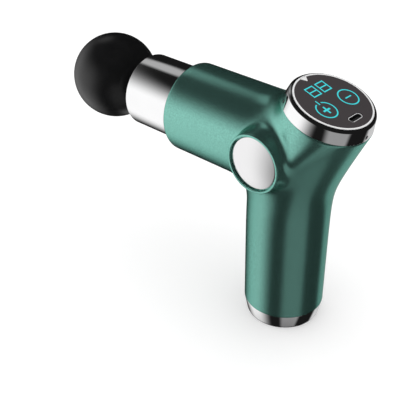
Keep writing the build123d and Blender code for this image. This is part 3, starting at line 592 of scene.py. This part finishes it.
stem_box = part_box("head_stem")
STEM_TIP_X = stem_box[1].x / MM
STEM_FRONT_X = stem_box[0].x / MM
turned(
    "head_shaft",
    along_nose(
        [
            (STEM_FRONT_X, 0.0),
            (STEM_FRONT_X, COLLAR_R + STEM_FLANGE_H, 0.3),
            (STEM_FRONT_X + STEM_FLANGE_W, COLLAR_R + STEM_FLANGE_H, 0.3),
            (STEM_FRONT_X + STEM_FLANGE_W, COLLAR_R),
            (COLLAR_REAR_X, COLLAR_R, 0.5),
            (COLLAR_REAR_X, SPIGOT_R),
            (STEM_TIP_X, SPIGOT_R, 0.8),
            (STEM_TIP_X, 0.0),
        ]
    ),
    NOSE, FORWARD, "head", "stem_plastic", ("head_stem", "stem_o_rings"), steps=96,
)

plate_edge = PLATE_TOP_Y - PLATE_SEAT_Y - PLATE_CROWN
dome_radius = (PLATE_R**2 + PLATE_CROWN**2) / (2 * PLATE_CROWN)
for side, name in ((-1, "left"), (1, "right")):
    crown = []
    for r in np.linspace(0, PLATE_R - 0.5, 28):
        drop = math.sqrt(dome_radius**2 - r * r)
        crown.append((r, plate_edge + PLATE_CROWN - dome_radius + drop))
    round_off = arc_points((PLATE_R - 0.4, plate_edge - 0.36), 0.4, 78, 0, 6)
    outline = crown + round_off + [(PLATE_R - 0.1, 0.02), (0, 0.02)]
    turned(
        name + "_badge", outline, (0, side * PLATE_SEAT_Y, BOSS_Z), (0, side, 0),
        "housing", "plate_silver", (name + "_side_plate",), steps=160,
    )

turned(
    "foot_band",
    softened(
        [
            (0, 1.45),
            (FOOT_SEAT_R, 1.45),
            (FOOT_SEAT_R, 0.0, 0.25),
            (19.3, 0.0, 0.9),
            (19.65, 1.1, 0.6),
            (HANDLE_LOW_R, FOOT_TOP_Z - 0.1, 0.12),
            (FOOT_NECK_R, FOOT_TOP_Z - 0.1),
            (FOOT_NECK_R, FOOT_FLOOR_Z),
            (0, FOOT_FLOOR_Z),
        ]
    ),
    (0, 0, 0), (0, 0, 1), "housing", "chrome_trim", ("foot_ring",), steps=224,
)
turned(
    "foot_sole",
    softened([(0, 0), (FOOT_SOLE_R, 0, 0.5), (FOOT_SOLE_R, 1.4, 0.1), (0, 1.4)]),
    (0, 0, 0), (0, 0, 1), "housing", "soft_black", ("foot_pad",), steps=128,
)

# ---------------------------------------------------------------- display head
DISPLAY_ORIGIN = tuple(DISPLAY_AT)
display_band = turned(
    "display_band",
    softened(
        [
            (BAND_IN_R, -BAND_H + 0.05),
            (BAND_LOW_R, -BAND_H + 0.05, 0.15),
            (21.05, -1.2, 0.55),
            (20.5, -0.6, 0.35),
            (GLASS_SEAT_R, -0.05, 0.1),
            (GLASS_SEAT_R, GLASS_SEAT_W),
            (GLASS_HOLE_R, GLASS_SEAT_W),
            (GLASS_HOLE_R, -2.4),
            (BAND_IN_R, -3.3),
        ],
        6,
    ),
    DISPLAY_ORIGIN, tuple(W_DIR), "housing", "chrome_trim", ("display_ring",), steps=256,
)


def bored(obj, tool_points, tool_faces):
    """Cuts a closed shape out of the piece."""
    mesh = bpy.data.meshes.new("bore")
    mesh.from_pydata([tuple(p) for p in np.asarray(tool_points) * MM], [], tool_faces)
    tool = bpy.data.objects.new("bore", mesh)
    bpy.context.scene.collection.objects.link(tool)
    cut = obj.modifiers.new("bore", "BOOLEAN")
    cut.operation = "DIFFERENCE"
    cut.solver = "EXACT"
    cut.object = tool
    seen = bpy.context.evaluated_depsgraph_get()
    obj.data = bpy.data.meshes.new_from_object(obj.evaluated_get(seen))
    obj.modifiers.clear()
    bpy.data.objects.remove(tool)
    obj.data.shade_smooth()
    obj.data.set_sharp_from_angle(angle=math.radians(28))


bore_points, bore_faces = [], []
for angle in RING_SCREW_ANGLES:
    out = U_DIR * math.cos(angle) + np.array([0.0, math.sin(angle), 0.0])
    at = DISPLAY_AT + W_DIR * RING_SCREW_W + out * RING_HOLE_FROM_R
    hole = [(0, 0), (RING_HOLE_R, 0), (RING_HOLE_R, RING_HOLE_L), (0, RING_HOLE_L)]
    points, faces = lathe(hole, at, out, 40)
    bore_faces += [[i + len(bore_points) for i in f] for f in faces]
    bore_points += points
bored(display_band, bore_points, bore_faces)

turned(
    "bezel_ring",
    softened(
        [(BEZEL_IN_R, -1.3), (BEZEL_R, -1.3), (BEZEL_R, 0.15, 0.12), (BEZEL_IN_R, 0.15, 0.12)]
    ),
    DISPLAY_ORIGIN, tuple(W_DIR), "housing", "chrome_trim", ("glass_bezel",), steps=256,
)


def on_display(u, v, w):
    return DISPLAY_AT + u * U_DIR + np.array([0.0, v, 0.0]) + w * W_DIR


def slot_outline(width, height, w, steps=16):
    """Points of a long slot across the display, round at both ends."""
    r = height / 2
    points = []
    for end, start in ((1, -math.pi / 2), (-1, math.pi / 2)):
        for k in range(steps + 1):
            a = start + math.pi * k / steps
            v = end * (width / 2 - r) + r * math.cos(a)
            points.append(on_display(USB_U + r * math.sin(a), v, w))
    return points


def slot_tube(name, top, bottom, floor_w=None):
    """Thin-walled tube with the slot's outline, closed at its floor if one is given."""
    inner_bottom = bottom if floor_w is None else floor_w
    loops = [
        slot_outline(USB_W - 2 * USB_WALL, USB_H - 2 * USB_WALL, inner_bottom),
        slot_outline(USB_W - 2 * USB_WALL, USB_H - 2 * USB_WALL, top),
        slot_outline(USB_W, USB_H, top),
        slot_outline(USB_W, USB_H, bottom),
    ]
    n = len(loops[0])
    points = [p for loop in loops for p in loop]
    spans = [(0, 1), (1, 2), (2, 3)] + ([(3, 0)] if floor_w is None else [])
    faces = []
    for a, b in spans:
        for k in range(n):
            j = (k + 1) % n
            faces.append([a * n + k, a * n + j, b * n + j, b * n + k])
    if floor_w is not None:
        faces += [list(range(n)), list(range(3 * n, 4 * n))]
    tube = make_object(name, points, faces, "housing", "steel", ("usb_shell",))
    tidy_normals(tube)


slot_tube("usb_lip", USB_TOP, USB_TOP - 0.25)
slot_tube("usb_throat", USB_TOP - 0.27, USB_TOP - USB_DEPTH, USB_TOP - USB_DEPTH + 1.0)

pointer_outline = [(-18.9, -2.5), (-15.8, -0.12), (-15.8, 0.12), (-18.9, 2.5)]
pointer_points = []
for w, shrink in ((0.02, 1.0), (0.11, 1.0), (0.15, 0.96)):
    for u, v in pointer_outline:
        pointer_points.append(on_display(-18.0 + (u + 18.0) * shrink, v * shrink, w))
pointer_faces = [[3, 2, 1, 0], [8, 9, 10, 11]]
for level in (0, 4):
    for k in range(4):
        j = (k + 1) % 4
        pointer_faces.append([level + k, level + j, level + 4 + j, level + 4 + k])
pointer = make_object("bezel_pointer", pointer_points, pointer_faces, "housing", "chrome_trim")
tidy_normals(pointer)


# ---------------------------------------------------------------- materials
def shader_socket(shader, *names):
    for name in names:
        if name in shader.inputs:
            return shader.inputs[name]
    raise KeyError(names)


class Finish:
    """A procedural material: colour variation, roughness variation, fine relief and, where asked,
    painted shade.
    """

    def __init__(self, name, color, metallic, roughness):
        self.material = bpy.data.materials.new(name)
        self.material.use_nodes = True
        self.nodes = self.material.node_tree.nodes
        self.links = self.material.node_tree.links
        self.shader = next(n for n in self.nodes if n.type == "BSDF_PRINCIPLED")
        self.color = color
        self.shader.inputs["Base Color"].default_value = (*color, 1)
        self.shader.inputs["Metallic"].default_value = metallic
        self.shader.inputs["Roughness"].default_value = roughness
        self.roughness = roughness
        self.where = self.nodes.new("ShaderNodeTexCoord")

    def set(self, value, *names):
        shader_socket(self.shader, *names).default_value = value
        return self

    def noise(self, scale, detail):
        node = self.nodes.new("ShaderNodeTexNoise")
        node.inputs["Scale"].default_value = scale
        node.inputs["Detail"].default_value = detail
        self.links.new(self.where.outputs["Object"], node.inputs["Vector"])
        return node.outputs["Fac"]

    def ramp(self, source, low, high):
        node = self.nodes.new("ShaderNodeMapRange")
        node.inputs["From Min"].default_value = 0.3
        node.inputs["From Max"].default_value = 0.7
        node.inputs["To Min"].default_value = low
        node.inputs["To Max"].default_value = high
        self.links.new(source, node.inputs["Value"])
        return node.outputs["Result"]

    def tint(self, scale, amount):
        """Varies the base colour's brightness by plus and minus the amount."""
        mix = self.nodes.new("ShaderNodeMix")
        mix.data_type = "RGBA"
        dark = [c * (1 - amount) for c in self.color]
        light = [min(1.0, c * (1 + amount)) for c in self.color]
        colors = [i for i in mix.inputs if i.type == "RGBA"]
        colors[0].default_value = (*dark, 1)
        colors[1].default_value = (*light, 1)
        factor = self.ramp(self.noise(scale, 4.0), 0.0, 1.0)
        self.links.new(factor, mix.inputs["Factor"])
        result = next(o for o in mix.outputs if o.type == "RGBA")
        self.links.new(result, self.shader.inputs["Base Color"])
        return self

    def paint_shade_towards_foot(self, low_z, high_z, share):
        """Paints shade into the colour towards the foot: full colour above one height, a share of
        it below the other.
        """
        parts = self.nodes.new("ShaderNodeSeparateXYZ")
        self.links.new(self.where.outputs["Object"], parts.inputs["Vector"])
        fade = self.nodes.new("ShaderNodeMapRange")
        fade.interpolation_type = "SMOOTHSTEP"
        fade.inputs["From Min"].default_value = low_z
        fade.inputs["From Max"].default_value = high_z
        fade.inputs["To Min"].default_value = share
        self.links.new(parts.outputs["Z"], fade.inputs["Value"])
        scale = self.nodes.new("ShaderNodeVectorMath")
        scale.operation = "SCALE"
        base = self.shader.inputs["Base Color"]
        self.links.new(base.links[0].from_socket, scale.inputs["Vector"])
        self.links.new(fade.outputs["Result"], scale.inputs["Scale"])
        self.links.new(scale.outputs["Vector"], base)
        return self

    def rough(self, scale, amount):
        """Varies the roughness by plus and minus the amount."""
        low, high = self.roughness - amount, self.roughness + amount
        factor = self.ramp(self.noise(scale, 3.0), low, high)
        self.links.new(factor, self.shader.inputs["Roughness"])
        return self

    def bump(self, scale, strength, depth):
        """Fine relief, its depth in metres."""
        node = self.nodes.new("ShaderNodeBump")
        node.inputs["Strength"].default_value = strength
        node.inputs["Distance"].default_value = depth
        self.links.new(self.noise(scale, 2.0), node.inputs["Height"])
        self.links.new(node.outputs["Normal"], self.shader.inputs["Normal"])
        return self


def simple(name, color, metallic, roughness, grain=900, variation=0.08, depth=0.00002):
    """Finish of an ordinary moulded or machined piece."""
    finish = Finish(name, color, metallic, roughness)
    finish.tint(60, variation)
    finish.rough(grain * 0.4, min(0.06, roughness * 0.4))
    return finish.bump(grain, 0.25, depth)


paint = Finish("satin_green_paint", (0.245, 0.562, 0.480), 0.93, 0.235)
paint.tint(1500, 0.12).rough(90, 0.012).bump(5200, 0.07, 0.000004)
# painted shade: the green is darkened by height, to 0.78 of its colour below 75 mm, so the handle
# reads darker than the barrel
paint.paint_shade_towards_foot(0.075, 0.108, 0.78)
paint.set((0.5, 0.72, 0.66, 1), "Specular Tint")
chrome = Finish("polished_chrome", (0.96, 0.96, 0.965), 1.0, 0.055)
chrome.tint(90, 0.012).rough(400, 0.012).bump(70, 0.02, 0.00001)
nose = Finish("polished_nose", (0.965, 0.965, 0.97), 1.0, 0.09)
nose.tint(90, 0.012).rough(500, 0.015).bump(900, 0.03, 0.000005)
plate = Finish("satin_silver_plate", (0.90, 0.895, 0.90), 1.0, 0.19)
plate.tint(1500, 0.008).rough(700, 0.015).bump(2500, 0.02, 0.000002)
bezel = Finish("bright_silver_bezel", (0.90, 0.90, 0.905), 0.15, 0.3)
bezel.tint(900, 0.015).rough(600, 0.02).bump(1800, 0.04, 0.000004)
rubber = Finish("black_ball_rubber", (0.006, 0.006, 0.0065), 0.0, 0.30)
rubber.tint(200, 0.2).rough(300, 0.02).bump(1400, 0.06, 0.00001)
rubber.set(0.55, "Specular IOR Level", "Specular")
glass = Finish("smoked_glass", (0.052, 0.046, 0.048), 0.0, 0.22)
glass.tint(40, 0.04).rough(200, 0.01).bump(60, 0.01, 0.000005)
glass.set(0.18, "Specular IOR Level", "Specular")
cyan = Finish("lit_symbols", (0.02, 0.10, 0.10), 0.0, 0.4)
cyan.tint(300, 0.05).rough(300, 0.03).bump(800, 0.02, 0.000003)
cyan.set((0.03, 0.58, 0.63, 1), "Emission Color", "Emission")
cyan.set(1.0, "Emission Strength")

FINISHES = {
    "housing_paint": paint,
    "nose_metal": nose,
    "chrome_trim": chrome,
    "plate_silver": plate,
    "soft_black": simple("soft_black_rubber", (0.018, 0.018, 0.018), 0.0, 0.6),
    "head_rubber": rubber,
    "stem_plastic": simple("black_stem", (0.015, 0.015, 0.016), 0.0, 0.35),
    "inner_plastic": simple("grey_nylon", (0.10, 0.10, 0.11), 0.0, 0.5),
    "bush_plastic": simple("acetal_white", (0.72, 0.71, 0.68), 0.0, 0.4),
    "cast_metal": simple("cast_zinc", (0.45, 0.45, 0.46), 1.0, 0.48, 700, 0.12, 0.00005),
    "rod_metal": simple("turned_aluminium", (0.62, 0.62, 0.64), 1.0, 0.3),
    "steel": simple("ground_steel", (0.55, 0.55, 0.56), 1.0, 0.24),
    "motor_steel": simple("motor_steel", (0.34, 0.34, 0.36), 1.0, 0.36),
    "magnet": simple("nickel_magnet", (0.40, 0.40, 0.41), 1.0, 0.3),
    "copper": simple("enamelled_copper", (0.62, 0.24, 0.10), 1.0, 0.32),
    "brass": simple("brass", (0.66, 0.48, 0.18), 1.0, 0.3),
    "display_glass": glass,
    "icon_light": cyan,
    "board_green": simple("green_circuit_board", (0.02, 0.12, 0.05), 0.0, 0.38),
    "component_black": simple("black_epoxy", (0.02, 0.02, 0.021), 0.0, 0.42),
    "cell_wrap": simple("cell_wrap", (0.05, 0.16, 0.42), 0.0, 0.33),
    "lead_insulation": simple("red_lead", (0.45, 0.02, 0.015), 0.0, 0.4),
    "cable_black": simple("black_cable", (0.02, 0.02, 0.02), 0.0, 0.5),
}
# pieces whose finish differs from the rest of their slot
PIECE_FINISHES = {
    "bezel_ring": bezel,
    "bezel_pointer": bezel,
    # the slot's lip: nickel made near-white and mostly diffuse, a painted highlight along the
    # slot's edge
    "usb_lip": simple("bright_nickel", (0.86, 0.86, 0.87), 0.3, 0.3, 1500, 0.02, 0.000004),
    # the slot's throat: nickel made near-black, painted shade inside the recess
    "usb_throat": simple("shaded_nickel", (0.03, 0.03, 0.03), 0.4, 0.4, 1500, 0.1, 0.000004),
}
slot_of_node = {row["node"]: row["material_slot"] for row in frame["record"]["subparts"]}
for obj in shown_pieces():
    slot = obj.get("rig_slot") or slot_of_node[obj.name]
    obj.data.materials.clear()
    obj.data.materials.append(PIECE_FINISHES.get(obj.name, FINISHES[slot]).material)
    if "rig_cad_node" in obj:
        obj.data.shade_smooth()
        obj.data.set_sharp_from_angle(angle=math.radians(30))

# ---------------------------------------------------------------- studio
floor_mesh = bpy.data.meshes.new("studio_floor")
floor_mesh.from_pydata([(-4, -4, 0), (4, -4, 0), (4, 4, 0), (-4, 4, 0)], [], [(0, 1, 2, 3)])
floor = bpy.data.objects.new("studio_floor", floor_mesh)
bpy.context.scene.collection.objects.link(floor)
floor_finish = Finish("pale_floor", (0.80, 0.80, 0.80), 0.0, 0.8)
floor_finish.tint(6, 0.004).rough(10, 0.02)
floor_finish.set((1, 1, 1, 1), "Emission Color", "Emission")
floor_finish.set(0.27, "Emission Strength")
floor_finish.set(0.0, "Specular IOR Level", "Specular")
floor.data.materials.append(floor_finish.material)
floor.visible_glossy = False

# camera: azimuth and elevation of the view and roll; aim, distance and shift in metres
AZIMUTH, ELEVATION, ROLL = math.radians(43.517), math.radians(32.46), math.radians(-0.777)
AIM_Z = 0.084
DISTANCE = 0.395976
SHIFT_RIGHT, SHIFT_UP = -0.0448044, -0.0131112
back = Vector(
    (
        math.sin(AZIMUTH) * math.cos(ELEVATION),
        -math.cos(AZIMUTH) * math.cos(ELEVATION),
        math.sin(ELEVATION),
    )
)
right = Vector((math.cos(AZIMUTH), math.sin(AZIMUTH), 0))
up = back.cross(right)
right, up = (
    right * math.cos(ROLL) + up * math.sin(ROLL),
    up * math.cos(ROLL) - right * math.sin(ROLL),
)
eye = Vector((0, 0, AIM_Z)) + back * DISTANCE + right * SHIFT_RIGHT + up * SHIFT_UP
camera_data = bpy.data.cameras.new("camera")
camera_data.sensor_width = 36.0
camera_data.lens = 71.775
camera_data.clip_start = 0.01
camera_data.clip_end = 20.0
camera = bpy.data.objects.new("camera", camera_data)
camera.matrix_world = Matrix(
    (
        (right.x, up.x, back.x, eye.x),
        (right.y, up.y, back.y, eye.y),
        (right.z, up.z, back.z, eye.z),
        (0, 0, 0, 1),
    )
)
bpy.context.scene.collection.objects.link(camera)
bpy.context.scene.camera = camera

# overhead light for the floor; polished surfaces see only the soft boxes of the world
lamp_data = bpy.data.lights.new("overhead", "AREA")
lamp_data.shape = "DISK"
lamp_data.size = 1.6
lamp_data.energy = 3.0
lamp = bpy.data.objects.new("overhead", lamp_data)
lamp.location = (-0.1, 0.1, 1.3)
lamp.visible_glossy = False
bpy.context.scene.collection.objects.link(lamp)

world = bpy.data.worlds.new("studio")
bpy.context.scene.world = world
world.use_nodes = True
wn, wl = world.node_tree.nodes, world.node_tree.links
wn.clear()


def math_node(operation, a, b=None):
    node = wn.new("ShaderNodeMath")
    node.operation = operation
    for socket, value in zip(node.inputs, (a, b)):
        if value is None:
            continue
        if isinstance(value, (int, float)):
            socket.default_value = value
        else:
            wl.new(value, socket)
    return node.outputs[0]


def edge(value, zero_at, full_at):
    """0 at one angle, 1 at the other, smooth in between; angles in degrees."""
    node = wn.new("ShaderNodeMapRange")
    node.interpolation_type = "SMOOTHSTEP"
    rising = zero_at < full_at
    node.inputs["From Min"].default_value = math.radians(min(zero_at, full_at))
    node.inputs["From Max"].default_value = math.radians(max(zero_at, full_at))
    node.inputs["To Min"].default_value = 0.0 if rising else 1.0
    node.inputs["To Max"].default_value = 1.0 if rising else 0.0
    wl.new(value, node.inputs["Value"])
    return node.outputs["Result"]


sky = wn.new("ShaderNodeTexCoord")
split = wn.new("ShaderNodeSeparateXYZ")
wl.new(sky.outputs["Generated"], split.inputs["Vector"])
dir_x, dir_y, dir_z = split.outputs
elevation = math_node("ARCSINE", dir_z)
VIEW_AZIMUTH = math.degrees(AZIMUTH)


def soft_box(centre, left, right_edge, low, high, value, slant=0.0):
    """Glow between azimuths and elevations, in degrees; each edge is (zero at, full at).

    All azimuths count from the side that the camera stands on. The centre also sets where they
    wrap round, opposite it. Below the horizon the right edge leans by the slant.
    """
    c = math.radians(centre + VIEW_AZIMUTH)
    ahead = math_node(
        "ADD", math_node("MULTIPLY", dir_x, math.sin(c)), math_node("MULTIPLY", dir_y, -math.cos(c))
    )
    aside = math_node(
        "ADD", math_node("MULTIPLY", dir_x, math.cos(c)), math_node("MULTIPLY", dir_y, math.sin(c))
    )
    azimuth = math_node("ARCTAN2", aside, ahead)
    glow = edge(azimuth, left[0] - centre, left[1] - centre)
    under = math_node("MINIMUM", elevation, 0.0)
    leaning = math_node("SUBTRACT", azimuth, math_node("MULTIPLY", under, slant))
    right_side = edge(leaning, right_edge[0] - centre, right_edge[1] - centre)
    glow = math_node("MULTIPLY", glow, right_side)
    glow = math_node("MULTIPLY", glow, edge(elevation, *low))
    glow = math_node("MULTIPLY", glow, edge(elevation, *high))
    return math_node("MULTIPLY", glow, value)


AMBIENT = 0.012
boxes = [
    soft_box(-105, (-168, -112), (-28, -79), (-80, -40), (44, 2), 1.25, 0.3),
    soft_box(20, (-20, -2), (55, 41), (-100, -40), (5, -15), 0.36),
    soft_box(143, (104, 120), (182, 166), (-110, -70), (-5, -28), 0.72),
    soft_box(-160, (-178, -166), (-142, -154), (24, 32), (56, 42), 0.5),
]
light = AMBIENT
for box in boxes:
    light = math_node("ADD", box, light)
glow_shader = wn.new("ShaderNodeBackground")
wl.new(light, glow_shader.inputs["Strength"])
white_shader = wn.new("ShaderNodeBackground")
white_shader.inputs["Color"].default_value = (1, 1, 1, 1)
white_shader.inputs["Strength"].default_value = 1.0
path = wn.new("ShaderNodeLightPath")
seen_or_soft = math_node("MAXIMUM", path.outputs["Is Camera Ray"], path.outputs["Is Diffuse Ray"])
choose = wn.new("ShaderNodeMixShader")
wl.new(seen_or_soft, choose.inputs["Fac"])
wl.new(glow_shader.outputs["Background"], choose.inputs[1])
wl.new(white_shader.outputs["Background"], choose.inputs[2])
world_out = wn.new("ShaderNodeOutputWorld")
wl.new(choose.outputs["Shader"], world_out.inputs["Surface"])
bpy.context.scene.view_settings.view_transform = "Standard"
